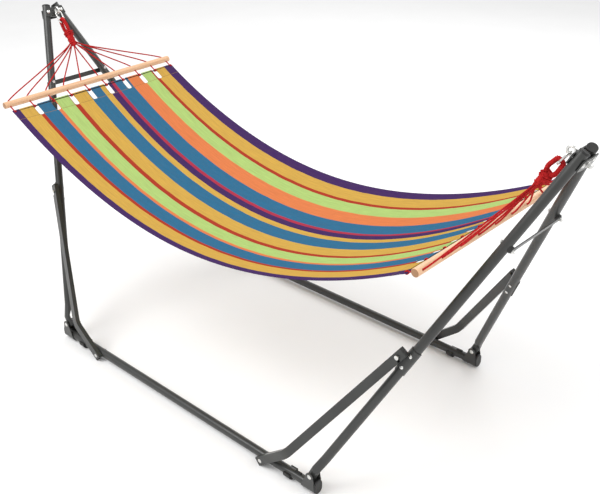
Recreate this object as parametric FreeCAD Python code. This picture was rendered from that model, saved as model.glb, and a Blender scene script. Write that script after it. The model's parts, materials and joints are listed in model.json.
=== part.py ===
import FreeCAD, Part
import math
import os

# Folding hammock stand with its hammock hung in place. All lengths are in millimetres.
# +X runs along the hammock, +Y across it, +Z up. The origin is on the floor under the middle.
# Every piece is drawn once, for the right end (+X) and the near side (-Y), then mirrored.

# ---- steel frame ----
TUBE_R = 15.0
TUBE_WALL = 1.5
RAIL_Y = 450.0              # a base rail's distance from the middle plane
RAIL_Z = 22.0               # height of a rail's axis
RAIL_HALF_LENGTH = 668.0
FOOT_X = 650.0              # leg pivot, at the end of the rail
FOOT_Z = 68.0
APEX_X = 1180.0             # where the two legs of one end frame meet
APEX_Z = 1140.0
APEX_HALF_GAP = 26.0        # a leg's axis stays this far from the middle plane at the apex
LEG_OVERRUN = 16.0          # a leg's top stands past the apex
CAP_THICK = 6.0
PIN_R = 4.0
RUNNING_CLEARANCE = 0.05

# ---- foot bracket ----
BRACKET_INNER = 15.5
BRACKET_OUTER = 18.0
BRACKET_BACK_X = 606.0
BRACKET_TOP_Z = 84.0
LUG_HALF_THICK = 10.0       # the crimped lower end of a leg
LUG_LENGTH = 30.0
CRIMP_LENGTH = 75.0

# ---- foot pads ----
PAD_X = 553.0
PAD_WIDTH = 26.0
BUMPER_X = 588.0

# ---- knee brace ----
BRACE_X = 445.0
BRACE_DEPTH = 30.0
BRACE_THICK = 16.0
BRACE_WALL = 1.8
BRACE_GAP = 0.8             # between a rail's side and its brace
BEND_X = 560.0
BEND_Z = 115.0
BEND_RADIUS = 90.0
BRACE_TAIL = 12.5           # tube past the lower pivot
BRACE_TIP = 20.0            # tube past the upper stud
STUD_R = 4.0
STUD_LENGTH = 25.4
STUD_HEAD = 3.0
STUD_SLOT_R = 4.5
BRACE_FOLD_RATIO = 1.15     # a brace turns this much for each degree of its end frame

# ---- bracket on the leg that takes the top of the brace ----
SADDLE_POSITION = 0.41      # share of the leg's length
SADDLE_HALF_LENGTH = 44.0
SADDLE_SHEET = 2.8
SADDLE_TAB = 34.0
STUD_INBOARD = 24.0
STUD_ALONG = 10.0

# ---- spreader link between the legs ----
LINK_POSITION = 0.235       # share of the leg's length, from the apex
LINK_WIDTH = 18.0
LINK_THICK = 3.0

# ---- apex ----
PLATE_THICK = 4.0
EYE_DOWN = 14.0             # below the apex, along the end frame
EYE_RING_R = 12.0
EYE_WIRE_R = 4.0

# ---- snap hook ----
HOOK_WIRE_R = 3.0
HOOK_END_R = 12.0
HOOK_STRAIGHT = 26.0
GATE_R = 2.6
GATE_END_GAP = 1.2          # lets the gate's corners swing clear of the hook's ends

# ---- hammock ----
BAR_X = 960.0
BAR_Z = 886.0
BAR_R = 12.5
BAR_HALF_LENGTH = 400.0
ROPE_COUNT = 10
ROPE_R = 2.2
ROPE_PITCH = 84.5
ROPE_HOLE_R = 3.4
LOOP_R = 8.0                # the wound eye loop
KNOT_R = 13.0
KNOT_START = 104.0          # along the pull line, from the eye
KNOT_END = 146.0
BED_END_X = 928.0
BED_END_Z = 869.0
BED_LOW_Z = 600.0
BED_HALF_WIDTH = 388.0
BED_THICK = 8.0

V = FreeCAD.Vector
Y_AXIS = V(0, 1, 0)

# ---- derived directions, for the right end and the near side ----
FOOT = V(FOOT_X, -RAIL_Y, FOOT_Z)
APEX_LEG = V(APEX_X, -APEX_HALF_GAP, APEX_Z)
APEX = V(APEX_X, 0, APEX_Z)
LEG_VECTOR = APEX_LEG - FOOT
LEG_LENGTH = LEG_VECTOR.Length
ALONG = LEG_VECTOR / LEG_LENGTH
FRAME_UP = V(LEG_VECTOR.x, 0, LEG_VECTOR.z).normalize()
FRAME_OUT = V(FRAME_UP.z, 0, -FRAME_UP.x)
LEG_SIDE = ALONG.cross(FRAME_OUT)      # towards the middle plane
EYE_OUT = TUBE_R + PLATE_THICK + EYE_RING_R + 3.0
EYE = APEX - FRAME_UP * EYE_DOWN - FRAME_OUT * EYE_OUT
BAR = V(BAR_X, 0, BAR_Z)
PULL = (BAR - EYE).normalize()
PULL_NORMAL = PULL.cross(Y_AXIS)
TO_BED = (V(BED_END_X, 0, BED_END_Z) - BAR).normalize()


def cylinder(start, direction, radius, length):
    return Part.makeCylinder(radius, length, start, direction)


def rod(start, end, radius):
    return cylinder(start, end - start, radius, (end - start).Length)


def block(centre, x_dir, y_dir, size_x, size_y, size_z):
    """A box about its centre, with its own X and Y directions."""
    z_dir = x_dir.cross(y_dir)
    box = Part.makeBox(size_x, size_y, size_z, V(-size_x / 2, -size_y / 2, -size_z / 2))
    box.Placement = FreeCAD.Placement(centre, FreeCAD.Rotation(x_dir, y_dir, z_dir, "ZXY"))
    return box


def prism_xz(points, y_low, y_high):
    """A flat outline in the XZ plane, given thickness along Y."""
    corners = [V(x, y_low, z) for x, z in points]
    face = Part.Face(Part.makePolygon(corners + [corners[0]]))
    return face.extrude(V(0, y_high - y_low, 0))


def rivet(centre, direction, half_length, shaft_r, head_r, head_height):
    """A shaft with a low domed head at each end."""
    shaft = cylinder(centre - direction * half_length, direction, shaft_r, 2 * half_length)
    ball_r = (head_r ** 2 + head_height ** 2) / (2 * head_height)
    for sign in (-1, 1):
        base = centre + direction * (sign * half_length)
        ball = Part.makeSphere(ball_r, base + direction * (sign * (head_height - ball_r)))
        dome = ball.common(cylinder(base, direction * sign, head_r + 1.0, head_height + 1.0))
        shaft = shaft.fuse(dome)
    return shaft.removeSplitter()


def mirrored(shape, end, side):
    """The right, near shape carried to another end (+1 right) and side (-1 near)."""
    if end < 0:
        shape = shape.mirror(V(0, 0, 0), V(1, 0, 0))
    if side > 0:
        shape = shape.mirror(V(0, 0, 0), V(0, 1, 0))
    return shape


def save(name, shapes):
    shape = shapes if isinstance(shapes, Part.Shape) else Part.makeCompound(shapes)
    if not shape.isValid():
        print("not valid:", name)
    shape.exportStep("parts/" + name + ".step")
    print(name, len(shape.Solids), round(shape.Volume))


# ---- positions shared by several pieces ----
BRACE_Y = -(RAIL_Y + TUBE_R + BRACE_GAP + BRACE_THICK / 2)
BRACE_PIVOT = V(BRACE_X, BRACE_Y, RAIL_Z)
SADDLE = FOOT + ALONG * (LEG_LENGTH * SADDLE_POSITION)
SADDLE_FACE = TUBE_R + 0.2 + SADDLE_SHEET
STUD_BASE = (SADDLE - LEG_SIDE * SADDLE_FACE - FRAME_OUT * STUD_INBOARD
             + ALONG * STUD_ALONG)
BRACE_AT_STUD = STUD_BASE + V(0, -12.6, 0)
LINK_POINT = APEX_LEG - ALONG * (LEG_LENGTH * LINK_POSITION)
APEX_BOLT = APEX_LEG - ALONG * 10.0


def make_rail():
    start = V(-RAIL_HALF_LENGTH, -RAIL_Y, RAIL_Z)
    x_dir = V(1, 0, 0)
    rail = cylinder(start, x_dir, TUBE_R, 2 * RAIL_HALF_LENGTH)
    rail = rail.cut(cylinder(start, x_dir, TUBE_R - TUBE_WALL, 2 * RAIL_HALF_LENGTH))
    for sign in (-1, 1):
        hole = cylinder(V(sign * BRACE_X, -RAIL_Y - 40, RAIL_Z), Y_AXIS, PIN_R + 0.1, 80)
        rail = rail.cut(hole)
    return rail


def make_foot_bracket():
    """A steel channel round the end of the rail, whose cheeks rise to the leg's pivot."""
    length = RAIL_HALF_LENGTH - BRACKET_BACK_X
    base = V(BRACKET_BACK_X, -RAIL_Y, RAIL_Z)
    x_dir = V(1, 0, 0)
    shells = []
    for radius in (BRACKET_OUTER, BRACKET_INNER):
        upper = Part.makeBox(length, 2 * radius, BRACKET_TOP_Z, base - V(0, radius, 0))
        shells.append(upper.fuse(cylinder(base, x_dir, radius, length)))
    channel = shells[0].cut(shells[1])
    right = RAIL_HALF_LENGTH
    outline = [(BRACKET_BACK_X, 0), (right, 0), (right, 50), (FOOT_X + 14, FOOT_Z),
               (FOOT_X - 14, FOOT_Z), (FOOT_X - 24, 46)]
    low = -RAIL_Y - 30
    high = -RAIL_Y + 30
    cheek = prism_xz(outline, low, high)
    cheek = cheek.fuse(cylinder(V(FOOT_X, low, FOOT_Z), Y_AXIS, TUBE_R, high - low))
    pin_hole = cylinder(V(FOOT_X, low, FOOT_Z), Y_AXIS, PIN_R + 0.1, high - low)
    return channel.common(cheek).cut(pin_hole)


def make_foot_plug():
    """Black plastic plug over the open end of the channel."""
    x_dir = V(1, 0, 0)
    low = V(RAIL_HALF_LENGTH + 0.2, -RAIL_Y, RAIL_Z)
    high = low + V(0, 0, 15)
    thick = 6.0
    plug = cylinder(low, x_dir, BRACKET_OUTER, thick)
    plug = plug.fuse(cylinder(high, x_dir, BRACKET_OUTER, thick))
    plug = plug.fuse(Part.makeBox(thick, 2 * BRACKET_OUTER, 15, low - V(0, BRACKET_OUTER, 0)))
    plug = plug.removeSplitter()
    outer_edges = [e for e in plug.Edges if e.BoundBox.XMin > low.x + thick - 0.1]
    return plug.makeFillet(3.0, outer_edges)


def make_foot_pad():
    """A saddle pad under the rail, with a flat sole on the floor."""
    start = V(PAD_X - PAD_WIDTH / 2, -RAIL_Y, RAIL_Z)
    x_dir = V(1, 0, 0)
    pad = cylinder(start, x_dir, RAIL_Z, PAD_WIDTH)
    pad = pad.fuse(Part.makeBox(PAD_WIDTH, 18, 6, V(start.x, -RAIL_Y - 9, 0)))
    pad = pad.cut(cylinder(start, x_dir, TUBE_R + 0.2, PAD_WIDTH))
    above = Part.makeBox(PAD_WIDTH, 60, 40, V(start.x, -RAIL_Y - 30, RAIL_Z + 5))
    return pad.cut(above)


def make_bumper():
    """A low rubber rest on top of the rail, under the folded leg."""
    bottom = RAIL_Z + TUBE_R + 0.1
    rest = Part.makeBox(24, 8, 5, V(BUMPER_X - 12, -RAIL_Y - 4, bottom))
    return rest.makeFillet(1.5, [e for e in rest.Edges if e.BoundBox.ZMin > bottom + 4])


def make_foot_rivet():
    return rivet(FOOT, Y_AXIS, BRACKET_OUTER + 0.1, PIN_R, 8.0, 3.0)


def make_brace_rivet():
    outer_end = BRACE_Y - BRACE_THICK / 2 - 0.3
    inner_end = -RAIL_Y + TUBE_R + 0.3
    centre = V(BRACE_X, (outer_end + inner_end) / 2, RAIL_Z)
    return rivet(centre, Y_AXIS, (inner_end - outer_end) / 2, PIN_R, 7.5, 3.0)


def make_leg():
    """A round tube whose lower end is crimped flat to fit between the bracket's cheeks."""
    crimp_top = FOOT + ALONG * CRIMP_LENGTH
    lug_top = FOOT + FRAME_UP * LUG_LENGTH
    low = Part.Ellipse(V(0, 0, 0), TUBE_R, LUG_HALF_THICK).toShape()
    turn = FreeCAD.Rotation(FRAME_OUT, FRAME_UP.cross(FRAME_OUT), FRAME_UP, "ZXY")
    low.Placement = FreeCAD.Placement(lug_top, turn)
    low_wire = Part.Wire([low])
    high = Part.Circle(V(0, 0, 0), V(0, 0, 1), TUBE_R).toShape()
    turn = FreeCAD.Rotation(FRAME_OUT, ALONG.cross(FRAME_OUT), ALONG, "ZXY")
    high.Placement = FreeCAD.Placement(crimp_top, turn)
    crimp = Part.makeLoft([low_wire, Part.Wire([high])], True)
    lug = Part.Face(low_wire).extrude(FRAME_UP * -(LUG_LENGTH + TUBE_R))
    end_round = cylinder(FOOT - Y_AXIS * 20, Y_AXIS, TUBE_R, 40)
    end_round = end_round.fuse(block(FOOT + FRAME_UP * 20, FRAME_OUT, Y_AXIS, 40, 40, 40))
    lug = lug.common(end_round)
    length = LEG_LENGTH + LEG_OVERRUN - CRIMP_LENGTH
    tube = cylinder(crimp_top, ALONG, TUBE_R, length)
    tube = tube.cut(cylinder(crimp_top + ALONG * 10, ALONG, TUBE_R - TUBE_WALL, length))
    leg = lug.fuse(crimp).fuse(tube)
    leg = leg.cut(cylinder(FOOT - Y_AXIS * 30, Y_AXIS, PIN_R + RUNNING_CLEARANCE, 60))
    leg = leg.cut(cylinder(APEX_BOLT - FRAME_OUT * 30, FRAME_OUT, PIN_R + 0.1, 60))
    leg = leg.cut(cylinder(LINK_POINT - FRAME_OUT * 30, FRAME_OUT, 3.1, 60))
    for step in (-22, 22):
        centre = SADDLE + ALONG * step
        leg = leg.cut(cylinder(centre - LEG_SIDE * 30, LEG_SIDE, 3.1, 60))
    return leg


def make_leg_cap():
    """Domed black cap on the open top of a leg."""
    top = APEX_LEG + ALONG * (LEG_OVERRUN + 0.1)
    cap = cylinder(top, ALONG, TUBE_R + 0.8, CAP_THICK)
    rim = [e for e in cap.Edges if (e.CenterOfMass - top).dot(ALONG) > CAP_THICK - 0.1]
    return cap.makeFillet(2.0, rim)


def make_saddle():
    """Half sleeve on the outer side of the leg, with a tab inboard for the brace's stud."""
    low = SADDLE - ALONG * SADDLE_HALF_LENGTH
    length = 2 * SADDLE_HALF_LENGTH
    sleeve = cylinder(low, ALONG, SADDLE_FACE, length)
    sleeve = sleeve.cut(cylinder(low, ALONG, TUBE_R + 0.2, length))
    keep = block(SADDLE - LEG_SIDE * 20, FRAME_OUT, LEG_SIDE, 60, 40, length + 2)
    sleeve = sleeve.common(keep)
    sheet_middle = SADDLE - LEG_SIDE * (SADDLE_FACE - SADDLE_SHEET / 2)
    tab = block(sheet_middle - FRAME_OUT * (SADDLE_TAB / 2), FRAME_OUT, LEG_SIDE,
                SADDLE_TAB, SADDLE_SHEET, 52)
    saddle = sleeve.fuse(tab)
    for step in (-22, 22):
        centre = SADDLE + ALONG * step
        saddle = saddle.cut(cylinder(centre - LEG_SIDE * 30, LEG_SIDE, 3.1, 60))
    return saddle


def make_stud():
    """The stud that the brace's top end drops over, with a flat head outside."""
    start = STUD_BASE + V(0, 0.6, 0)
    stud = cylinder(start, V(0, -1, 0), STUD_R, STUD_LENGTH)
    head = cylinder(start + V(0, 0.5 - STUD_LENGTH, 0), V(0, -1, 0), 7.0, STUD_HEAD)
    plate_side = block(STUD_BASE + LEG_SIDE * 10, FRAME_OUT, LEG_SIDE, 60, 20, 60)
    return stud.fuse(head).cut(plate_side)


def make_saddle_rivets():
    rivets = []
    for step in (-22, 22):
        centre = SADDLE + ALONG * step - LEG_SIDE * 1.4
        rivets.append(rivet(centre, LEG_SIDE, TUBE_R + 1.7, 3.0, 5.5, 2.2))
    return rivets


def brace_path(tail, tip):
    """The brace's middle line, with its start, its end and both directions."""
    bend = V(BEND_X, BRACE_Y, BEND_Z)
    lower = (bend - BRACE_PIVOT).normalize()
    upper = (BRACE_AT_STUD - bend).normalize()
    half_turn = lower.getAngle(upper) / 2
    setback = BEND_RADIUS * math.tan(half_turn)
    start = BRACE_PIVOT - lower * tail
    end = BRACE_AT_STUD + upper * tip
    arc_start = bend - lower * setback
    arc_end = bend + upper * setback
    to_centre = (upper - lower).normalize()
    centre = bend + to_centre * (BEND_RADIUS / math.cos(half_turn))
    arc_middle = centre - to_centre * BEND_RADIUS
    arc = Part.Arc(arc_start, arc_middle, arc_end)
    edges = [Part.LineSegment(start, arc_start).toShape(), arc.toShape(),
             Part.LineSegment(arc_end, end).toShape()]
    return Part.Wire(edges), start, lower, end, upper


def swept_box(wire, start, direction, depth, thick):
    across = direction.cross(Y_AXIS).normalize()
    corners = []
    for a, b in ((-1, -1), (1, -1), (1, 1), (-1, 1)):
        corners.append(start + across * (a * depth / 2) + Y_AXIS * (b * thick / 2))
    profile = Part.makePolygon(corners + [corners[0]])
    return wire.makePipeShell([profile], True, False)


def slot_direction():
    """Where the stud moves inside the brace as the end frame starts to fold."""
    from_foot = STUD_BASE - FOOT
    from_pivot = STUD_BASE - BRACE_PIVOT
    stud_speed = V(-from_foot.z, 0, from_foot.x)
    brace_speed = V(-from_pivot.z, 0, from_pivot.x) * BRACE_FOLD_RATIO
    return (stud_speed - brace_speed).normalize()


def make_brace():
    """A bent box tube: pivot hole below, open slot for the stud above."""
    wire, start, lower, _, _ = brace_path(BRACE_TAIL, BRACE_TIP)
    outer = swept_box(wire, start, lower, BRACE_DEPTH, BRACE_THICK)
    inner = swept_box(wire, start, lower, BRACE_DEPTH - 2 * BRACE_WALL,
                      BRACE_THICK - 2 * BRACE_WALL)
    brace = outer.cut(inner)
    pivot = cylinder(BRACE_PIVOT - Y_AXIS * 30, Y_AXIS, PIN_R + RUNNING_CLEARANCE, 60)
    brace = brace.cut(pivot)
    away = slot_direction()
    slot_start = BRACE_AT_STUD - Y_AXIS * 30
    slot = cylinder(slot_start, Y_AXIS, STUD_SLOT_R, 60)
    middle = BRACE_AT_STUD + away * 15
    slot = slot.fuse(block(middle, away, Y_AXIS, 30, 60, 2 * STUD_SLOT_R))
    return brace.cut(slot)


def make_brace_caps():
    """Black plastic caps on both ends of a brace."""
    _, start, lower, end, upper = brace_path(BRACE_TAIL, BRACE_TIP)
    across = lower.cross(Y_AXIS).normalize()
    lower_cap = block(start - lower * 1.6, across, Y_AXIS, BRACE_DEPTH, BRACE_THICK, 3.0)
    long_wire = brace_path(BRACE_TAIL, BRACE_TIP + 5.0)[0]
    long_box = swept_box(long_wire, start, lower, BRACE_DEPTH, BRACE_THICK)
    keep = cylinder(end + upper * 0.1, upper, 40, 20)
    upper_cap = long_box.common(keep)
    return [lower_cap, upper_cap]


def make_link():
    """Flat bar across the legs, on the outer side."""
    out = TUBE_R + 5.0 + LINK_THICK / 2
    middle = V(LINK_POINT.x, 0, LINK_POINT.z) + FRAME_OUT * out
    half = -LINK_POINT.y
    bar = block(middle, FRAME_OUT, Y_AXIS, LINK_THICK, 2 * half, LINK_WIDTH)
    for sign in (-1, 1):
        centre = V(middle.x, sign * half, middle.z)
        bar = bar.fuse(cylinder(centre - FRAME_OUT * (LINK_THICK / 2), FRAME_OUT,
                                LINK_WIDTH / 2, LINK_THICK))
    for sign in (-1, 1):
        centre = V(middle.x, sign * half, middle.z)
        bar = bar.cut(cylinder(centre - FRAME_OUT * 10, FRAME_OUT, 3.1, 20))
    return bar.removeSplitter()


def make_link_spacer():
    """Black plastic saddle between the link and the leg."""
    spacer = cylinder(LINK_POINT, FRAME_OUT, 11.0, TUBE_R + 4.9)
    spacer = spacer.cut(cylinder(LINK_POINT - ALONG * 60, ALONG, TUBE_R + 0.1, 120))
    return spacer.cut(cylinder(LINK_POINT, FRAME_OUT, 3.1, 60))


def make_link_bolt():
    """Bolt through the leg and the link, with a domed nut outside."""
    head_start = LINK_POINT - FRAME_OUT * (TUBE_R + 4.2)
    bolt = cylinder(head_start, FRAME_OUT, 5.5, 4.0)
    length = TUBE_R + 5.0 + LINK_THICK + 0.1
    bolt = bolt.fuse(rod(LINK_POINT - FRAME_OUT * TUBE_R, LINK_POINT + FRAME_OUT * length, 3.0))
    nut_base = LINK_POINT + FRAME_OUT * length
    bolt = bolt.fuse(cylinder(nut_base, FRAME_OUT, 6.0, 5.0))
    return bolt.fuse(Part.makeSphere(4.5, nut_base + FRAME_OUT * 5.0)).removeSplitter()


def make_apex_plate(sign):
    """Plate across the two leg tops: sign +1 outside, -1 inside."""
    def corner(y, up):
        return APEX + V(0, y, 0) + FRAME_UP * up + FRAME_OUT * (sign * (TUBE_R + 0.3))
    outline = [corner(-38, 6), corner(38, 6), corner(45, -26), corner(14, -34),
               corner(-14, -34), corner(-45, -26)]
    face = Part.Face(Part.makePolygon(outline + [outline[0]]))
    plate = face.extrude(FRAME_OUT * (sign * PLATE_THICK))
    for y in (-1, 1):
        bolt = V(APEX_BOLT.x, y * APEX_BOLT.y, APEX_BOLT.z)
        plate = plate.cut(cylinder(bolt - FRAME_OUT * 40, FRAME_OUT, PIN_R + 0.1, 80))
    eye_start = APEX - FRAME_UP * EYE_DOWN - FRAME_OUT * 40
    return plate.cut(cylinder(eye_start, FRAME_OUT, PIN_R + 0.1, 80))


def make_apex_bolt():
    half = TUBE_R + 0.3 + PLATE_THICK + 0.1
    return rivet(APEX_BOLT, FRAME_OUT, half, PIN_R, 7.5, 4.0)


def make_eye_bolt():
    """Ring and shank, with the ring on the hammock's side."""
    ring = Part.makeTorus(EYE_RING_R, EYE_WIRE_R, EYE, Y_AXIS)
    shank_start = EYE + FRAME_OUT * (EYE_RING_R + 1.0)
    shank_end = EYE + FRAME_OUT * (EYE_OUT + TUBE_R + PLATE_THICK + 4.0)
    return ring.fuse(rod(shank_start, shank_end, PIN_R)).removeSplitter()


def make_eye_nut():
    """Domed cap nut on the outer end of the eye bolt, over a washer."""
    base = APEX - FRAME_UP * EYE_DOWN + FRAME_OUT * (TUBE_R + 0.4 + PLATE_THICK)
    nut = cylinder(base, FRAME_OUT, 11.0, 2.0)
    nut = nut.fuse(cylinder(base + FRAME_OUT * 2.0, FRAME_OUT, 8.0, 7.0))
    nut = nut.fuse(Part.makeSphere(7.5, base + FRAME_OUT * 9.0))
    shank = cylinder(base - FRAME_OUT, FRAME_OUT, PIN_R + 0.05, 6.0)
    return nut.removeSplitter().cut(shank)


def pull_point(along, across=0.0, off=0.0):
    """A point by its distance along the pull line, across in Y, and off its plane."""
    return EYE + PULL * along + Y_AXIS * across + PULL_NORMAL * off


HOOK_TOP = EYE_RING_R - EYE_WIRE_R - HOOK_WIRE_R - 0.4
HOOK_LOW = HOOK_TOP + HOOK_END_R + HOOK_STRAIGHT
HOOK_BOTTOM = HOOK_LOW + HOOK_END_R
GATE_LOW = HOOK_LOW - 4.0
GATE_HIGH = HOOK_TOP + HOOK_END_R + 3.0


def make_snap_hook():
    """A wire oval through the eye, open on one side where its gate sits."""
    r = HOOK_END_R
    high = HOOK_TOP + r
    edges = [
        Part.LineSegment(pull_point(GATE_HIGH, -r), pull_point(high, -r)).toShape(),
        Part.Arc(pull_point(high, -r), pull_point(HOOK_TOP), pull_point(high, r)).toShape(),
        Part.LineSegment(pull_point(high, r), pull_point(HOOK_LOW, r)).toShape(),
        Part.Arc(pull_point(HOOK_LOW, r), pull_point(HOOK_BOTTOM),
                 pull_point(HOOK_LOW, -r)).toShape(),
        Part.LineSegment(pull_point(HOOK_LOW, -r), pull_point(GATE_LOW, -r)).toShape()]
    circle = Part.Circle(pull_point(GATE_HIGH, -r), PULL, HOOK_WIRE_R).toShape()
    return Part.Wire(edges).makePipeShell([Part.Wire([circle])], True, False)


def make_gate():
    high = pull_point(GATE_HIGH + GATE_END_GAP, -HOOK_END_R)
    return rod(high, pull_point(GATE_LOW - GATE_END_GAP, -HOOK_END_R), GATE_R)


def make_rope_loop():
    """The wound eye loop: up from the knot, round the bottom of the snap hook and back."""
    turn_r = HOOK_WIRE_R + LOOP_R + 1.2
    foot_gap = LOOP_R + 0.3
    bow = turn_r + 3.0
    slant = turn_r * math.sin(math.pi / 4)
    low = KNOT_START + 4.0
    one_side = [pull_point(low, 0, -foot_gap), pull_point((low + HOOK_BOTTOM) / 2, 0, -bow),
                pull_point(HOOK_BOTTOM, 0, -turn_r), pull_point(HOOK_BOTTOM - slant, 0, -slant)]
    other_side = [pull_point(HOOK_BOTTOM - slant, 0, slant), pull_point(HOOK_BOTTOM, 0, turn_r),
                  pull_point((low + HOOK_BOTTOM) / 2, 0, bow), pull_point(low, 0, foot_gap)]
    route = Part.BSplineCurve()
    route.interpolate(one_side + [pull_point(HOOK_BOTTOM - turn_r)] + other_side)
    edge = route.toShape()
    tangent = edge.tangentAt(edge.FirstParameter)
    circle = Part.Circle(one_side[0], tangent, LOOP_R).toShape()
    loop = Part.Wire([edge]).makePipeShell([Part.Wire([circle])], True, False)
    inside_knot = cylinder(pull_point(KNOT_START), PULL, 60, 60)
    return loop.cut(inside_knot)


def make_knot():
    """The wrapped knot where the ten strings meet, tapering towards the bar."""
    length = KNOT_END - KNOT_START
    return Part.makeCone(KNOT_R + 4, KNOT_R, length, pull_point(KNOT_START), PULL)


def rope_y(index):
    return (index - (ROPE_COUNT - 1) / 2) * ROPE_PITCH


def make_rope(index):
    """One string: out of the knot, through the bar and on to the edge of the bed."""
    column = index // 2 - 2
    row = (index % 2) * 2 - 1
    knot = pull_point(KNOT_END + 3.0, column * 4.9, row * 2.45)
    y = rope_y(index)
    entry = BAR + V(0, y, 0) - TO_BED * (BAR_R + 5.0)
    end = BAR + V(0, y, 0) + TO_BED * (BAR_R + 19.0)
    rope = rod(knot, entry, ROPE_R).fuse(Part.makeSphere(ROPE_R + 0.02, entry))
    return rope.fuse(rod(entry, end, ROPE_R))


def make_bar():
    """Round wooden spreader bar with a hole for each string."""
    bar = cylinder(BAR - Y_AXIS * BAR_HALF_LENGTH, Y_AXIS, BAR_R, 2 * BAR_HALF_LENGTH)
    bar = bar.makeFillet(2.0, [e for e in bar.Edges if e.Length < 90 and e.Closed])
    for index in range(ROPE_COUNT):
        centre = BAR + V(0, rope_y(index), 0)
        bar = bar.cut(cylinder(centre - TO_BED * 20, TO_BED, ROPE_HOLE_R, 40))
    return bar


def make_bed():
    """The woven bed, as one sagging sheet hung between the two bars."""
    half = BED_THICK / 2
    faces = []
    for offset in (half, -half):
        arc = Part.Arc(V(-BED_END_X, 0, BED_END_Z + offset), V(0, 0, BED_LOW_Z + offset),
                       V(BED_END_X, 0, BED_END_Z + offset))
        faces.append(arc.toShape())
    ends = [Part.LineSegment(V(s * BED_END_X, 0, BED_END_Z + half),
                             V(s * BED_END_X, 0, BED_END_Z - half)).toShape() for s in (-1, 1)]
    wire = Part.Wire(Part.__sortEdges__(faces + ends))
    sheet = Part.Face(wire).extrude(V(0, 2 * BED_HALF_WIDTH, 0))
    sheet.translate(V(0, -BED_HALF_WIDTH, 0))
    return sheet


def build():
    os.makedirs("parts", exist_ok=True)
    ends = (("left", -1), ("right", 1))
    sides = (("near", -1), ("far", 1))
    corners = [(end, side) for _, end in ends for _, side in sides]

    def four(shape):
        return [mirrored(shape, end, side) for end, side in corners]

    rail = make_rail()
    for side_name, side in sides:
        save(side_name + "_rail", mirrored(rail, 1, side))
    save("foot_plugs", four(make_foot_plug()))
    save("foot_pads", four(make_foot_pad()))
    save("leg_rest_bumpers", four(make_bumper()))
    save("foot_rivets", four(make_foot_rivet()))
    save("brace_pivot_rivets", four(make_brace_rivet()))
    save("hammock_bed", make_bed())

    by_corner = {"foot_bracket": make_foot_bracket(), "leg": make_leg(), "brace": make_brace(),
                 "brace_caps": make_brace_caps(), "brace_saddle": make_saddle()}
    pairs = {"leg_caps": [make_leg_cap()], "saddle_rivets": make_saddle_rivets(),
             "brace_studs": [make_stud()], "link_spacers": [make_link_spacer()],
             "frame_bolts": [make_link_bolt(), make_apex_bolt()]}
    singles = {"spreader_link": make_link(), "apex_plate_outer": make_apex_plate(1),
               "apex_plate_inner": make_apex_plate(-1), "eye_bolt": make_eye_bolt(),
               "eye_nut": make_eye_nut(), "snap_hook": make_snap_hook(),
               "snap_hook_gate": make_gate(), "rope_loop": make_rope_loop(),
               "rope_knot": make_knot(), "wooden_bar": make_bar(),
               "fan_ropes": [make_rope(index) for index in range(ROPE_COUNT)]}
    for end_name, end in ends:
        for name, shape in by_corner.items():
            for side_name, side in sides:
                pieces = shape if isinstance(shape, list) else [shape]
                save(end_name + "_" + side_name + "_" + name,
                     [mirrored(piece, end, side) for piece in pieces])
        for name, pieces in pairs.items():
            save(end_name + "_" + name,
                 [mirrored(piece, end, side) for _, side in sides for piece in pieces])
        for name, shape in singles.items():
            pieces = shape if isinstance(shape, list) else [shape]
            save(end_name + "_" + name, [mirrored(piece, end, -1) for piece in pieces])


build()
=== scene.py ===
import json
import math

import bmesh
import bpy
from mathutils import Matrix, Vector


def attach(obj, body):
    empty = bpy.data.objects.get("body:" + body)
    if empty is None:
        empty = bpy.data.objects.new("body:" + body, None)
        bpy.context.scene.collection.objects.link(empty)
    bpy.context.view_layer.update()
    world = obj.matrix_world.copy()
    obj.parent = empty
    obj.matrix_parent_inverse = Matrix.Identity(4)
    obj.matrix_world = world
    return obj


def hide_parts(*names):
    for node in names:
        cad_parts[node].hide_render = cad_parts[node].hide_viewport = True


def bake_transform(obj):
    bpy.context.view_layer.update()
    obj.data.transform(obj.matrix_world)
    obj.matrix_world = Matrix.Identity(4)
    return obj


# Looks of the folding hammock stand. Metres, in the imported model's frame:
# +X along the hammock, +Y across it, +Z up, origin on the floor.
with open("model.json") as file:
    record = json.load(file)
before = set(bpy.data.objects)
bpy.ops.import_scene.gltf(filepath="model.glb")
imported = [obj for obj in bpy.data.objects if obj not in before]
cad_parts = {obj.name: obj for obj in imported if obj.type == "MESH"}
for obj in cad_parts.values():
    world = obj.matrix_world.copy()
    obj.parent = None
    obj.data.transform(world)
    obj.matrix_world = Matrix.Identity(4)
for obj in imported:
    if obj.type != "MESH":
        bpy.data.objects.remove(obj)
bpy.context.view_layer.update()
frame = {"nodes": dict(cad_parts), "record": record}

# ---- hammock cloth ----
CLOTH_HALF_WIDTH = 0.388
HEM_X = 0.928
HEM_Z = 0.869
EDGE_SAG = 0.221            # of the two long edges, at the middle
BELLY = 0.062               # extra depth of the cloth's middle line
BELLY_FULLNESS = 0.8        # under 1, the belly reaches nearer to the hems
WAIST = 0.010               # share of its width that the cloth loses at the middle
CLOTH_THICK = 0.0014
HEM_THICK = 0.0036
HEM_TAPER = 0.30            # share of the hem's extra thickness over the rest of the hem
COLUMNS = 72
ROWS = 160                  # even, so that one row lies on the middle
NOTCH_CELLS = 4
CUT_NEAR = 0.0005           # edges this near the middle are on the cut between the halves
STRING_PITCH = 0.0845
STRING_COUNT = 10
HEM_CORD_R = 0.0032
HEM_CORD_BACK = 0.006       # from the cloth's end to the middle of the hem cord
HEM_CORD_DOWN = 0.0032
HEM_CORD_INSET = 0.002      # from the cloth's edge to the end of the hem cord
HEM_CORD_PITCH = 0.02
SLACK = 0.0045              # share of extra cloth that the simulation lets fall into folds
SETTLE_FRAMES = 30

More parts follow.
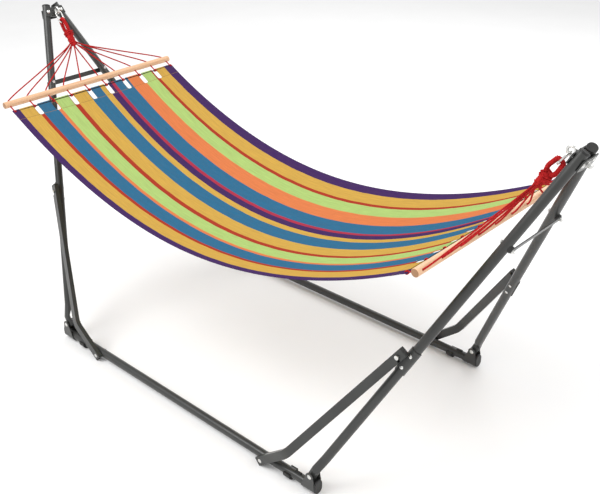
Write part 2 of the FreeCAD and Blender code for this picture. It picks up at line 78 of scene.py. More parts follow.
# ---- suspension, on the right end ----
EYE = Vector((1.1433, 0.0, 1.1426))
BAR = Vector((0.960, 0.0, 0.886))
BAR_R = 0.0125
PULL = (BAR - EYE).normalized()
TO_BED = (Vector((HEM_X, 0, HEM_Z)) - BAR).normalized()
ACROSS = Vector((0, 1, 0))
PULL_NORMAL = PULL.cross(ACROSS)
HOOK_BOTTOM = 0.0546        # along the pull line, from the eye
KNOT_START = 0.104
KNOT_END = 0.146
STRAND_R = 0.00145
STRANDS = 3
TWIST_PITCH = 0.013

# ---- strings, from the knot to the hem ----
STRING_IN_KNOT = (-0.008, 0.0042, 0.0022)   # past the knot's end, step across, half depth
STRING_AT_MOUTH = (0.006, 0.0056, 0.0030)
STRING_BEFORE_BAR = 0.006
STRING_AFTER_BAR = 0.004
STRING_TIED_BACK = 0.004
STRING_DROOP = 0.001
TIE_R = 0.0016
TIE_CLEARANCE = 0.0014
TIE_HALF_GAP = 0.0026
TIE_POINTS = 16

# ---- eye loop: half widths and the cord wound round its core ----
LOOP_BEND_R = 0.0122
LOOP_FOOT_DEPTH = 0.006     # that the loop's feet go into the knot
LOOP_FOOT_HALF = 0.0078
LOOP_NECK_HALF = 0.0100
LOOP_NECK_UP = 0.016        # from the loop's feet to its neck
LOOP_BULGE = 0.004          # that its sides stand wider than its bend
LOOP_CORE_R = 0.0060
LOOP_WRAP_OFFSET = 0.0062
LOOP_WRAP_R = 0.0017
LOOP_WRAP_PITCH = 0.0036
LOOP_STEP = 0.003           # between the rings of its core
LOOP_WRAP_STEP = 0.0006

# ---- knot ----
KNOT_RISE = 0.006           # that the knot goes up over the loop's feet
KNOT_CORE_R = 0.0155        # at its top
KNOT_TAPER = 0.0050
KNOT_WRAP_OFFSET = 0.0162
KNOT_WRAP_TAPER = 0.0052
KNOT_WRAP_R = 0.0027
KNOT_WRAP_PITCH = 0.0050
KNOT_WRAP_STEP = 0.0012
KNOT_WAVER = 0.0009         # by which the turns stand in and out
KNOT_WAVER_RATE = 21.0      # radians over the knot's length
COLLAR_OFFSET = 0.0196      # the second layer of turns, round the knot's top
COLLAR_SHARE = 0.34
COLLAR_HIDDEN = 0.0120      # where those turns go on, inside the first layer
COLLAR_R = 0.0024
COLLAR_PITCH = 0.0072
COLLAR_STEP = 0.0014
COLLAR_TURN = 1.7           # radians by which it starts apart from the first layer
MOUTH_R = 0.0105            # the bundle of strings below the knot
MOUTH_TAPER = 0.0022
MOUTH_LENGTH = 0.012

# ---- camera ----
CAMERA_AT = Vector((2.10979, -2.03614, 2.03302))
CAMERA_AZIMUTH = 43.102
CAMERA_ELEVATION = 28.3155
CAMERA_ROLL = -0.912
CAMERA_LENS = 54.595
CAMERA_SENSOR = 36.0
CAMERA_SHIFT_X = -0.0058

# ---- studio ----
FLOOR_HALF_SIZE = 30.0
FLOOR_Z = -0.0004           # just under the pads' soles
SKY_STRENGTH = 0.85

# ---- cloth colours ----
GOLD = (0.581, 0.348, 0.064)
LIME = (0.386, 0.552, 0.166)
BLUE = (0.014, 0.131, 0.255)
ORANGE = (0.676, 0.191, 0.064)
RED = (0.376, 0.029, 0.013)
CRIMSON = (0.386, 0.022, 0.060)
PURPLE = (0.040, 0.012, 0.102)
STRIPES = [  # from the near edge: colour and the share of the width where it starts
    (PURPLE, 0.0), (GOLD, 0.035), (RED, 0.115), (BLUE, 0.135), (ORANGE, 0.215),
    (LIME, 0.235), (RED, 0.315), (GOLD, 0.340), (BLUE, 0.425), (GOLD, 0.510),
    (PURPLE, 0.545), (CRIMSON, 0.585), (BLUE, 0.605), (ORANGE, 0.690), (LIME, 0.775),
    (RED, 0.850), (GOLD, 0.870), (PURPLE, 0.945)]
STRIPE_WANDER = 0.006       # share of the width by which the stripes' edges wander
YARN_SHADOW = (0.05, 0.035, 0.03)
PALE_FLECK = (0.95, 0.80, 0.62)
SLUB_BROWN = (0.20, 0.13, 0.07)
HEM_THREAD = (0.28, 0.16, 0.06)
HEM_SHADOW = (0.10, 0.06, 0.04)
HEM_START = 0.948           # share of the way from the cloth's middle to its end
SEAM_PLACE = 0.950
SEAM_HALF_WIDTH = 0.0011
STITCH_WAVE = 900.0         # radians over the cloth's width
STITCH_GAP = -0.3           # the wave is under this between two stitches
WARP_THREADS = 300.0        # ribs over the cloth's width
WEFT_THREADS = 380.0        # ribs over half its length


# ======================= materials =======================
class Shader:
    """A material with a Principled shader, and short ways to add nodes to it."""

    def __init__(self, name, roughness=0.5, metallic=0.0, coat=0.0, specular=0.5):
        self.material = bpy.data.materials.new(name)
        self.material.use_nodes = True
        self.nodes = self.material.node_tree.nodes
        self.links = self.material.node_tree.links
        self.surface = self.nodes["Principled BSDF"]
        self.surface.inputs["Roughness"].default_value = roughness
        self.surface.inputs["Metallic"].default_value = metallic
        self.surface.inputs["Coat Weight"].default_value = coat
        self.surface.inputs["Coat Roughness"].default_value = 0.12
        self.surface.inputs["Specular IOR Level"].default_value = specular
        self.place = self.nodes.new("ShaderNodeTexCoord").outputs["Object"]

    def node(self, kind, **values):
        made = self.nodes.new(kind)
        for key, value in values.items():
            setattr(made, key, value)
        return made

    def link(self, source, target):
        self.links.new(source, target)

    def stretched(self, scale, place=None):
        mapping = self.node("ShaderNodeMapping")
        mapping.inputs["Scale"].default_value = scale
        self.link(place or self.place, mapping.inputs["Vector"])
        return mapping.outputs["Vector"]

    def noise(self, scale, detail=4.0, place=None):
        noise = self.node("ShaderNodeTexNoise")
        noise.inputs["Scale"].default_value = scale
        noise.inputs["Detail"].default_value = detail
        self.link(place or self.place, noise.inputs["Vector"])
        return noise.outputs["Fac"]

    def ramp(self, factor, stops, interpolation="LINEAR"):
        ramp = self.node("ShaderNodeValToRGB")
        ramp.color_ramp.interpolation = interpolation
        points = ramp.color_ramp.elements
        while len(points) < len(stops):
            points.new(1.0)
        for point, (position, _) in zip(points, stops):
            point.position = position
        for point, (_, colour) in zip(points, stops):
            point.color = (*colour, 1.0)
        self.link(factor, ramp.inputs["Fac"])
        return ramp.outputs["Color"]

    def levels(self, factor, low, high):
        """A factor carried to the range low to high."""
        spread = self.node("ShaderNodeMapRange")
        spread.inputs["From Min"].default_value = 0.3
        spread.inputs["From Max"].default_value = 0.7
        spread.inputs["To Min"].default_value = low
        spread.inputs["To Max"].default_value = high
        self.link(factor, spread.inputs["Value"])
        return spread.outputs["Result"]

    def math(self, operation, first, second=0.0):
        made = self.node("ShaderNodeMath", operation=operation)
        for socket, value in zip(made.inputs, (first, second)):
            if isinstance(value, (int, float)):
                socket.default_value = value
            else:
                self.link(value, socket)
        return made.outputs["Value"]

    def mix(self, factor, first, second):
        """The first colour, turned into the second one by the factor."""
        mix = self.node("ShaderNodeMix", data_type="RGBA")
        for socket, value in zip((mix.inputs["Factor"], mix.inputs[6], mix.inputs[7]),
                                 (factor, first, second)):
            if isinstance(value, tuple):
                socket.default_value = (*value, 1.0)
            elif isinstance(value, (int, float)):
                socket.default_value = value
            else:
                self.link(value, socket)
        return mix.outputs[2]

    def bump(self, height, strength, distance):
        bump = self.node("ShaderNodeBump")
        bump.inputs["Strength"].default_value = strength
        bump.inputs["Distance"].default_value = distance
        self.link(height, bump.inputs["Height"])
        self.link(bump.outputs["Normal"], self.surface.inputs["Normal"])

    def colour(self, source):
        self.link(source, self.surface.inputs["Base Color"])

    def rough(self, source):
        self.link(source, self.surface.inputs["Roughness"])


def powder_coat():
    """Charcoal powder coat: a fine orange-peel skin with faint dusty patches."""
    s = Shader("charcoal_powder_coat", coat=0.15, specular=0.45)
    s.colour(s.ramp(s.noise(9.0, 6.0), [(0.35, (0.026, 0.027, 0.026)),
                                        (0.65, (0.036, 0.037, 0.035))]))
    s.rough(s.levels(s.noise(40.0, 5.0), 0.30, 0.42))
    s.bump(s.noise(900.0, 2.0), 0.12, 0.0004)
    return s.material


def moulded_plastic():
    """Black plastic with a fine grain."""
    s = Shader("black_moulded_plastic", specular=0.4)
    s.colour(s.ramp(s.noise(60.0, 5.0), [(0.3, (0.012, 0.012, 0.012)),
                                         (0.7, (0.024, 0.024, 0.023))]))
    s.rough(s.levels(s.noise(120.0, 3.0), 0.38, 0.55))
    s.bump(s.noise(1600.0, 3.0), 0.25, 0.0003)
    return s.material


def rubber():
    """Dull black rubber."""
    s = Shader("bumper_rubber", specular=0.3)
    s.colour(s.ramp(s.noise(90.0, 4.0), [(0.3, (0.018, 0.018, 0.018)),
                                         (0.7, (0.035, 0.034, 0.032))]))
    s.rough(s.levels(s.noise(200.0, 2.0), 0.7, 0.85))
    s.bump(s.noise(900.0, 3.0), 0.3, 0.0004)
    return s.material


def zinc():
    """Bright zinc plate with fine scratches and slightly cloudy patches."""
    s = Shader("bright_zinc", metallic=1.0)
    s.colour(s.ramp(s.noise(120.0, 5.0), [(0.3, (0.60, 0.60, 0.58)), (0.7, (0.80, 0.80, 0.78))]))
    s.rough(s.levels(s.noise(260.0, 6.0), 0.20, 0.38))
    s.bump(s.noise(1.0, 4.0, s.stretched((300.0, 2500.0, 300.0))), 0.15, 0.0002)
    return s.material


def turned_wood():
    """Pale peach beech: long grain, small flecks, and darker end grain."""
    s = Shader("turned_beech", coat=0.15, specular=0.35)
    grain = s.noise(1.0, 6.0, s.stretched((170.0, 7.0, 170.0)))
    fleck = s.noise(1.0, 2.0, s.stretched((900.0, 60.0, 900.0)))
    base = s.ramp(grain, [(0.30, (0.62, 0.36, 0.20)), (0.50, (0.74, 0.46, 0.275)),
                          (0.72, (0.80, 0.53, 0.34))])
    marked = s.mix(s.levels(fleck, 0.0, 0.16), base, (0.42, 0.19, 0.08))
    normal = s.node("ShaderNodeNewGeometry").outputs["Normal"]
    split = s.node("ShaderNodeSeparateXYZ")
    s.link(normal, split.inputs["Vector"])
    facing_end = s.math("GREATER_THAN", s.math("ABSOLUTE", split.outputs["Y"]), 0.8)
    rings = s.noise(700.0, 3.0)
    end_grain = s.ramp(rings, [(0.35, (0.26, 0.13, 0.06)), (0.65, (0.42, 0.23, 0.12))])
    s.colour(s.mix(facing_end, marked, end_grain))
    s.rough(s.levels(grain, 0.42, 0.56))
    s.bump(grain, 0.2, 0.0004)
    return s.material


def laid_rope():
    """Matt red rope with fine fibres. The strands themselves are in the mesh."""
    s = Shader("red_laid_rope", roughness=0.85, specular=0.05)
    fibre = s.noise(1400.0, 3.0)
    s.colour(s.ramp(s.noise(160.0, 4.0), [(0.3, (0.34, 0.012, 0.014)),
                                          (0.7, (0.54, 0.026, 0.026))]))
    s.bump(fibre, 0.5, 0.0006)
    return s.material


def hem_cord_painted_shade():
    """The cord inside the hem, which shows in the notches; its near-black colour is painted shade
    for the shaded hem thickness there.
    """
    s = Shader("painted_shade_hem_cord", roughness=0.9, specular=0.15)
    # Near black: painted shade where the hem's thickness lies in shadow in the notches.
    s.colour(s.ramp(s.noise(300.0, 3.0), [(0.3, (0.014, 0.012, 0.012)),
                                          (0.7, (0.045, 0.036, 0.034))]))
    s.bump(s.noise(1200.0, 3.0), 0.4, 0.0004)
    return s.material


def striped_canvas():
    """Woven stripes that follow the cloth, with heathered yarns, weave and stitched hems."""
    s = Shader("striped_canvas", roughness=0.95, specular=0.02)
    flat = s.node("ShaderNodeUVMap", uv_map="cloth").outputs["UV"]
    split = s.node("ShaderNodeSeparateXYZ")
    s.link(flat, split.inputs["Vector"])
    across, along = split.outputs["X"], split.outputs["Y"]
    wobble = s.noise(1.0, 2.0, s.stretched((1.0, 14.0, 1.0), flat))
    wander = s.math("MULTIPLY", s.math("SUBTRACT", wobble, 0.5), STRIPE_WANDER)
    stripes = s.ramp(s.math("ADD", across, wander),
                     [(start, colour) for colour, start in STRIPES], "CONSTANT")

    yarn = s.noise(1.0, 3.0, s.stretched((230.0, 12.0, 1.0), flat))
    heather = s.noise(1.0, 2.0, s.stretched((420.0, 640.0, 1.0), flat))
    slub = s.noise(1.0, 3.0, s.stretched((75.0, 34.0, 1.0), flat))
    shaded = s.mix(s.levels(yarn, 0.0, 0.22), stripes, YARN_SHADOW)
    flecked = s.mix(s.levels(heather, 0.0, 0.02), shaded, PALE_FLECK)
    tinted = s.mix(s.levels(slub, 0.0, 0.06), flecked, SLUB_BROWN)

    from_middle = s.math("ABSOLUTE", s.math("SUBTRACT", along, 1.0))
    in_hem = s.math("GREATER_THAN", from_middle, HEM_START)
    off_seam = s.math("ABSOLUTE", s.math("SUBTRACT", from_middle, SEAM_PLACE))
    on_seam = s.math("LESS_THAN", off_seam, SEAM_HALF_WIDTH)
    wave = s.math("SINE", s.math("MULTIPLY", across, STITCH_WAVE))
    dashes = s.math("GREATER_THAN", wave, STITCH_GAP)
    stitch = s.math("MULTIPLY", on_seam, dashes)
    stitched = s.mix(stitch, tinted, HEM_THREAD)
    s.colour(s.mix(s.math("MULTIPLY", in_hem, 0.05), stitched, HEM_SHADOW))

    warp = s.math("SINE", s.math("MULTIPLY", across, 2.0 * math.pi * WARP_THREADS))
    weft = s.math("SINE", s.math("MULTIPLY", along, 2.0 * math.pi * WEFT_THREADS))
    raised = s.math("ADD", s.math("MULTIPLY", warp, weft), s.math("MULTIPLY", yarn, 1.6))
    s.bump(s.math("SUBTRACT", raised, s.math("MULTIPLY", stitch, 2.0)), 0.35, 0.0005)
    return s.material


def pale_floor():
    """Nearly white and nearly even."""
    s = Shader("pale_floor", roughness=0.9, specular=0.1)
    s.colour(s.ramp(s.noise(3.0, 2.0), [(0.3, (0.905, 0.905, 0.905)),
                                        (0.7, (0.92, 0.92, 0.92))]))
    return s.material


# ======================= meshes =======================
def new_piece(name, vertices, faces, material, smooth=True):
    """An object with this mesh and material, in the scene."""
    mesh = bpy.data.meshes.new(name)
    mesh.from_pydata([tuple(v) for v in vertices], [], faces)
    mesh.materials.append(material)
    for polygon in mesh.polygons:
        polygon.use_smooth = smooth
    mesh.update()
    piece = bpy.data.objects.new(name, mesh)
    bpy.context.collection.objects.link(piece)
    return piece


def route_points(points):
    """Points along the smooth line that these control points pull on."""
    curve = bpy.data.curves.new("route", "CURVE")
    curve.dimensions = "3D"
    spline = curve.splines.new("NURBS")
    spline.points.add(len(points) - 1)
    for target, point in zip(spline.points, points):
        target.co = (*point, 1.0)
    spline.order_u = 3
    spline.use_endpoint_u = True
    spline.resolution_u = 16
    holder = bpy.data.objects.new("route", curve)
    mesh = bpy.data.meshes.new_from_object(holder)
    line = [v.co.copy() for v in mesh.vertices]
    bpy.data.objects.remove(holder)
    bpy.data.meshes.remove(mesh)
    bpy.data.curves.remove(curve)
    return line


def evenly(line, step):
    """The same line, with points a step apart."""
    lengths = [0.0]
    for a, b in zip(line, line[1:]):
        lengths.append(lengths[-1] + (b - a).length)
    count = max(2, round(lengths[-1] / step))
    result = []
    index = 0
    for k in range(count + 1):
        wanted = lengths[-1] * k / count
        while index < len(line) - 2 and lengths[index + 1] < wanted:
            index += 1
        span = max(lengths[index + 1] - lengths[index], 1e-9)
        share = min(1.0, max(0.0, (wanted - lengths[index]) / span))
        result.append(line[index].lerp(line[index + 1], share))
    return result


def frames_along(line):
    """Two directions square to the line at each of its points, turning as little as they can."""
    side = None
    result = []
    for index in range(len(line)):
        after = line[min(index + 1, len(line) - 1)]
        before = line[max(index - 1, 0)]
        tangent = (after - before).normalized()
        if side is None:
            side = tangent.orthogonal().normalized()
        side = (side - tangent * side.dot(tangent)).normalized()
        result.append((side, tangent.cross(side)))
    return result


class MeshParts:
    """Vertices and faces of one piece that is made of many tubes."""

    def __init__(self):
        self.vertices = []
        self.faces = []

    def tube(self, line, radius, sides=8, closed=False):
        """A round tube on a line. radius is a number, or one for each point."""
        first = len(self.vertices)
        radii = radius if hasattr(radius, "__len__") else [radius] * len(line)
        for point, (a, b), r in zip(line, frames_along(line), radii):
            for k in range(sides):
                angle = 2 * math.pi * k / sides
                self.vertices.append(point + a * (r * math.cos(angle)) + b * (r * math.sin(angle)))
        rings = len(line)
        for ring in range(rings if closed else rings - 1):
            low = first + ring * sides
            high = first + ((ring + 1) % rings) * sides
            for k in range(sides):
                after = (k + 1) % sides
                self.faces.append((low + k, low + after, high + after, high + k))
        if not closed:
            last = first + (rings - 1) * sides
            self.faces.append(tuple(first + k for k in reversed(range(sides))))
            self.faces.append(tuple(last + k for k in range(sides)))

    def helix(self, line, offset, radius, pitch, step, turn=0.0, sides=6):
        """A tube wound round a line. offset is a number, or a function of the share along."""
        points = evenly(line, step)
        total = sum((b - a).length for a, b in zip(points, points[1:]))
        wound = []
        for index, (point, (a, b)) in enumerate(zip(points, frames_along(points))):
            share = index / (len(points) - 1)
            away = offset(share) if callable(offset) else offset
            angle = turn + 2 * math.pi * share * total / pitch
            wound.append(point + a * (away * math.cos(angle)) + b * (away * math.sin(angle)))
        self.tube(wound, radius, sides)

    def twisted(self, line, pitch=TWIST_PITCH):
        """Laid rope: strands wound round each other."""
        for strand in range(STRANDS):
            self.helix(line, STRAND_R, STRAND_R, pitch, pitch / 8,
                       2 * math.pi * strand / STRANDS)

    def piece(self, name, material):
        return new_piece(name, self.vertices, self.faces, material)


def end_point(end, point):
    """A point of the right end, carried to another end (+1 right, -1 left)."""
    return Vector((point.x * end, point.y, point.z))


def pull_point(along, across=0.0, off=0.0):
    """A point by its distance from the eye along the pull line, and away from that line."""
    return EYE + PULL * along + ACROSS * across + PULL_NORMAL * off


def string_y(index):
    """Where a string crosses the bar, counted from the near side."""
    return (index - (STRING_COUNT - 1) / 2) * STRING_PITCH


# ======================= hammock =======================
def bed_point(across, along):
    """Where the cloth hangs: across and along run from -1 to 1."""
    x = HEM_X * along
    edge = HEM_Z - EDGE_SAG * (1 - along ** 2)
    belly = BELLY * (1 - across ** 2) * (1 - along ** 2) ** BELLY_FULLNESS
    waist = 1 - WAIST * (1 - along ** 2)
    return Vector((x, CLOTH_HALF_WIDTH * across * waist, edge - belly))


def in_notch(column, row):
    """True for a cell that is cut out of the hem at an inner string."""
    from_end = min(row, ROWS - 1 - row)
    if from_end >= NOTCH_CELLS:
        return False
    centre = (column + 0.5) / COLUMNS * 2 * CLOTH_HALF_WIDTH - CLOTH_HALF_WIDTH
    half_cell = CLOTH_HALF_WIDTH / COLUMNS
    inner = [string_y(k) for k in range(1, STRING_COUNT - 1)]
    return any(abs(centre - y) < 2 * half_cell for y in inner)


def cloth_grid(material):
    """The whole cloth as one flat-cut grid, laid where it hangs, with notched hems."""
    vertices = []
    for row in range(ROWS + 1):
        for column in range(COLUMNS + 1):
            vertices.append(bed_point(2 * column / COLUMNS - 1, 2 * row / ROWS - 1))
    faces = []
    flat = []
    for row in range(ROWS):
        for column in range(COLUMNS):
            if in_notch(column, row):
                continue
            low = row * (COLUMNS + 1) + column
            high = low + COLUMNS + 1
            faces.append((low, low + 1, high + 1, high))
            for c, r in ((0, 0), (1, 0), (1, 1), (0, 1)):
                flat.append(((column + c) / COLUMNS, 2 * (row + r) / ROWS))
    cloth = new_piece("whole_cloth", vertices, faces, material)
    layer = cloth.data.uv_layers.new(name="cloth")
    for loop, place in zip(layer.data, flat):
        loop.uv = place
    mark_hems(cloth)
    drop_loose_points(cloth)
    return cloth


def mark_hems(cloth):
    """Marks the rows that are held, and how thick each row of the hems is."""
    held = cloth.vertex_groups.new(name="held")
    hem = cloth.vertex_groups.new(name="hem")
    for index in range(len(cloth.data.vertices)):
        row = index // (COLUMNS + 1)
        from_end = min(row, ROWS - row)
        if from_end <= 1:
            held.add([index], 1.0, "REPLACE")
            hem.add([index], 1.0, "REPLACE")
        elif from_end <= NOTCH_CELLS:
            hem.add([index], HEM_TAPER, "REPLACE")
        else:
            hem.add([index], 0.0, "REPLACE")


def drop_loose_points(cloth):
    """Removes the points inside the notches, which no face uses."""
    work = bmesh.new()
    work.from_mesh(cloth.data)
    loose = [v for v in work.verts if not v.link_faces]
    bmesh.ops.delete(work, geom=loose, context="VERTS")
    work.to_mesh(cloth.data)
    work.free()


def apply_modifiers(piece):
    """Makes the piece's modifiers part of its mesh."""
    bpy.context.view_layer.update()
    seen = piece.evaluated_get(bpy.context.evaluated_depsgraph_get())
    mesh = bpy.data.meshes.new_from_object(seen)
    old = piece.data
    piece.modifiers.clear()
    piece.data = mesh
    bpy.data.meshes.remove(old)


def hang(cloth):
    """Lets the cloth settle under its own weight, held along both hem cords."""
    modifier = cloth.modifiers.new("settle", "CLOTH")
    settings = modifier.settings
    settings.quality = 6
    settings.mass = 0.25
    settings.tension_stiffness = 40
    settings.compression_stiffness = 40
    settings.shear_stiffness = 12
    settings.bending_stiffness = 0.6
    settings.air_damping = 4.0
    settings.shrink_min = -SLACK
    settings.vertex_group_mass = "held"
    modifier.point_cache.frame_start = 1
    modifier.point_cache.frame_end = SETTLE_FRAMES
    for step in range(1, SETTLE_FRAMES + 1):
        bpy.context.scene.frame_set(step)
    apply_modifiers(cloth)
    bpy.context.scene.frame_set(1)


def refine(cloth):
    """Halves the cloth's cells, so that its curves are smooth."""
    smooth = cloth.modifiers.new("smooth", "SUBSURF")
    smooth.levels = 1
    smooth.render_levels = 1
    smooth.boundary_smooth = "PRESERVE_CORNERS"
    apply_modifiers(cloth)


def thicken(cloth):
    """Gives the cloth its thickness, with the folded hem thicker than the rest."""
    thick = cloth.modifiers.new("thick", "SOLIDIFY")
    thick.thickness = HEM_THICK
    thick.offset = 0.0
    thick.vertex_group = "hem"
    thick.thickness_vertex_group = CLOTH_THICK / HEM_THICK
    apply_modifiers(cloth)
    cloth.vertex_groups.clear()


def half_of(cloth, end, name):
    """The half of the cloth on one end's side of the middle."""
    half = cloth.copy()
    half.data = cloth.data.copy()
    half.name = name
    bpy.context.collection.objects.link(half)
    work = bmesh.new()
    work.from_mesh(half.data)
    other = [f for f in work.faces if f.calc_center_median().x * end < 0]
    bmesh.ops.delete(work, geom=other, context="FACES")
    work.to_mesh(half.data)
    work.free()
    thicken(half)
    sharpen_cut(half)
    return half


def sharpen_cut(half):
    """Keeps the cut between the halves from shading as a dark line."""
    for edge in half.data.edges:
        if all(abs(half.data.vertices[v].co.x) < CUT_NEAR for v in edge.vertices):
            edge.use_edge_sharp = True


def make_cloth(material):
    """The hung cloth, as the half of each end."""
    cloth = cloth_grid(material)
    hang(cloth)
    refine(cloth)
    halves = {end: half_of(cloth, end, name)
              for end, name in ((-1, "left_hammock_cloth"), (1, "right_hammock_cloth"))}
    old = cloth.data
    bpy.data.objects.remove(cloth)
    bpy.data.meshes.remove(old)
    return halves


def hem_cord_place():
    """The middle of the right end's hem cord."""
    return Vector((HEM_X - HEM_CORD_BACK, 0, HEM_Z - HEM_CORD_DOWN))


def make_hem_cord(end, name, material):
    """The cord inside the hem, which shows in the notches."""
    parts = MeshParts()
    centre = hem_cord_place()
    half = CLOTH_HALF_WIDTH - HEM_CORD_INSET
    line = [end_point(end, centre + ACROSS * y) for y in (-half, -half / 2, 0, half / 2, half)]
    parts.twisted(evenly(line, 0.01), HEM_CORD_PITCH)
    return parts.piece(name + "_hem_cord", material)


def add_tie(parts, end, centre):
    """One turn of string round the hem cord."""
    reach = HEM_CORD_R + TIE_CLEARANCE
    ring = []
    for k in range(TIE_POINTS):
        angle = 2 * math.pi * k / TIE_POINTS
        away = Vector((reach * math.cos(angle), 0, reach * math.sin(angle)))
        ring.append(end_point(end, centre + away))
    parts.tube(ring, TIE_R, 6, closed=True)


def bundled(place, column, row):
    """A string's place among the others in the knot, two rows deep."""
    past_knot, step, half_depth = place
    return pull_point(KNOT_END + past_knot, column * step, row * half_depth)


def make_strings(end, name, material):
    """Ten strings: out of the knot, through the bar, and round the hem cord."""
    parts = MeshParts()
    rod = hem_cord_place()
    for index in range(STRING_COUNT):
        column = index // 2 - 2
        row = (index % 2) * 2 - 1
        across = ACROSS * string_y(index)
        knot = bundled(STRING_IN_KNOT, column, row)
        leaving = bundled(STRING_AT_MOUTH, column, row)
        before = BAR + across - TO_BED * (BAR_R + STRING_BEFORE_BAR)
        inside = BAR + across
        after = BAR + across + TO_BED * (BAR_R + STRING_AFTER_BAR)
        tied = rod + across - TO_BED * STRING_TIED_BACK
        middle = leaving.lerp(before, 0.5) - Vector((0, 0, STRING_DROOP))
        line = [end_point(end, p) for p in (knot, leaving, middle, before, inside, after, tied)]
        parts.twisted(route_points(line))
        for shift in (-TIE_HALF_GAP, TIE_HALF_GAP):
            add_tie(parts, end, rod + across + ACROSS * shift)
    return parts.piece(name + "_hammock_strings", material)


def make_eye_loop(end, name, material):
    """The eye loop: a core of turns with a cord wound tightly round it."""
    parts = MeshParts()
    foot = KNOT_START + LOOP_FOOT_DEPTH
    bend = LOOP_BEND_R
    sides = []
    for sign in (-1, 1):
        sides.append([pull_point(foot, 0, sign * LOOP_FOOT_HALF),
                      pull_point(foot - LOOP_NECK_UP, 0, sign * LOOP_NECK_HALF),
                      pull_point((foot + HOOK_BOTTOM) / 2, 0, sign * (bend + LOOP_BULGE)),
                      pull_point(HOOK_BOTTOM, 0, sign * bend),
                      pull_point(HOOK_BOTTOM - bend * 1.02, 0, sign * bend * 0.95)])
    control = sides[0] + [pull_point(HOOK_BOTTOM - bend * 1.04)] + sides[1][::-1]
    line = evenly(route_points([end_point(end, p) for p in control]), LOOP_STEP)
    parts.tube(line, LOOP_CORE_R, 12)
    parts.helix(line, LOOP_WRAP_OFFSET, LOOP_WRAP_R, LOOP_WRAP_PITCH, LOOP_WRAP_STEP, sides=5)
    return parts.piece(name + "_eye_loop", material)


def make_knot(end, name, material):
    """Cord wrapped round the root of the loop, over the bundle of strings."""
    parts = MeshParts()
    top = end_point(end, pull_point(KNOT_START - KNOT_RISE))
    low = end_point(end, pull_point(KNOT_END))
    line = evenly([top, low], 0.004)
    count = len(line) - 1
    parts.tube(line, [KNOT_CORE_R - KNOT_TAPER * k / count for k in range(count + 1)], 20)

    def wrap(share):
        waver = KNOT_WAVER * math.sin(share * KNOT_WAVER_RATE)
        return KNOT_WRAP_OFFSET - KNOT_WRAP_TAPER * share + waver

    def collar(share):
        return COLLAR_OFFSET - KNOT_WRAP_TAPER * share if share < COLLAR_SHARE else COLLAR_HIDDEN

    parts.helix(line, wrap, KNOT_WRAP_R, KNOT_WRAP_PITCH, KNOT_WRAP_STEP, sides=7)
    parts.helix(line, collar, COLLAR_R, COLLAR_PITCH, COLLAR_STEP, turn=COLLAR_TURN, sides=7)
    mouth = evenly([low, end_point(end, pull_point(KNOT_END + MOUTH_LENGTH))], 0.003)
    count = len(mouth) - 1
    parts.tube(mouth, [MOUTH_R - MOUTH_TAPER * k / count for k in range(count + 1)], 14)
    return parts.piece(name + "_wrapped_knot", material)


# ======================= assembly =======================
def finish_cad_nodes(looks):
    """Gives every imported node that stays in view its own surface."""
    slots = {part["node"]: part["material_slot"] for part in frame["record"]["subparts"]}
    for node_name, node in frame["nodes"].items():
        material = looks[slots[node_name]]
        if node.material_slots:
            for material_slot in node.material_slots:
                material_slot.material = material
        else:
            node.data.materials.append(material)


def build_hammock(canvas, rope, hem_cord_shade_material):
    """Cloth, hem cords, strings, loops and knots of both ends; all but the cloth each on its body.
    """
    halves = make_cloth(canvas)
    for end, name in ((-1, "left"), (1, "right")):
        body = name + "_frame"
        cloth = halves[end]
        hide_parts("hammock_bed")
        cord = make_hem_cord(end, name, hem_cord_shade_material)
        strings = make_strings(end, name, rope)
        loop = make_eye_loop(end, name, rope)
        knot = make_knot(end, name, rope)
        for piece, node in ((strings, "fan_ropes"), (loop, "rope_loop"), (knot, "rope_knot")):
            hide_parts(name + "_" + node)
        for piece in (cord, strings, loop, knot):
            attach(piece, body)
        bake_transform(cloth)


def build_floor():
    size = FLOOR_HALF_SIZE
    corners = [(-size, -size, FLOOR_Z), (size, -size, FLOOR_Z), (size, size, FLOOR_Z),
               (-size, size, FLOOR_Z)]
    floor = new_piece("floor", corners, [(0, 1, 2, 3)], pale_floor(), smooth=False)


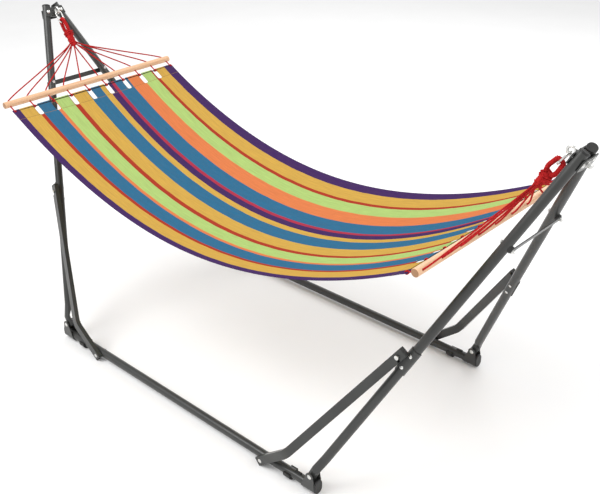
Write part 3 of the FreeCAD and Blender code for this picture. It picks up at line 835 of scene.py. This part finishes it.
def area_light(name, place, target, size, power):
    """A soft rectangular light that faces its target."""
    light = bpy.data.lights.new(name, "AREA")
    light.shape = "RECTANGLE"
    light.size = size[0]
    light.size_y = size[1]
    light.energy = power
    lamp = bpy.data.objects.new(name, light)
    lamp.location = place
    lamp.rotation_euler = (Vector(target) - Vector(place)).to_track_quat("-Z", "Y").to_euler()
    bpy.context.collection.objects.link(lamp)


def build_lights():
    world = bpy.data.worlds.new("studio")
    world.use_nodes = True
    background = world.node_tree.nodes["Background"]
    background.inputs["Color"].default_value = (1.0, 1.0, 1.0, 1.0)
    background.inputs["Strength"].default_value = SKY_STRENGTH
    bpy.context.scene.world = world
    area_light("key", (-1.5, -3.0, 4.2), (0, 0, 0.5), (3.0, 3.0), 150.0)
    area_light("fill", (3.5, 0.5, 3.0), (0, 0, 0.5), (2.5, 2.5), 45.0)
    area_light("back", (-1.0, 4.0, 3.2), (0, 0, 0.6), (3.5, 1.5), 60.0)


def build_camera():
    data = bpy.data.cameras.new("camera")
    data.lens = CAMERA_LENS
    data.sensor_width = CAMERA_SENSOR
    data.shift_x = CAMERA_SHIFT_X
    camera = bpy.data.objects.new("camera", data)
    turn = Matrix.Rotation(math.radians(CAMERA_AZIMUTH), 4, "Z")
    tilt = Matrix.Rotation(math.radians(90.0 - CAMERA_ELEVATION), 4, "X")
    roll = Matrix.Rotation(math.radians(CAMERA_ROLL), 4, "Z")
    camera.matrix_world = Matrix.Translation(CAMERA_AT) @ turn @ tilt @ roll
    bpy.context.collection.objects.link(camera)
    bpy.context.scene.camera = camera


def main():
    rope = laid_rope()
    canvas = striped_canvas()
    finish_cad_nodes({"frame_steel": powder_coat(), "zinc_hardware": zinc(),
                      "black_plastic": moulded_plastic(), "bumper_rubber": rubber(),
                      "bar_wood": turned_wood(), "red_rope": rope, "striped_cloth": canvas})
    build_hammock(canvas, rope, hem_cord_painted_shade())
    build_floor()
    build_lights()
    build_camera()
    bpy.context.scene.view_settings.view_transform = "Standard"


main()
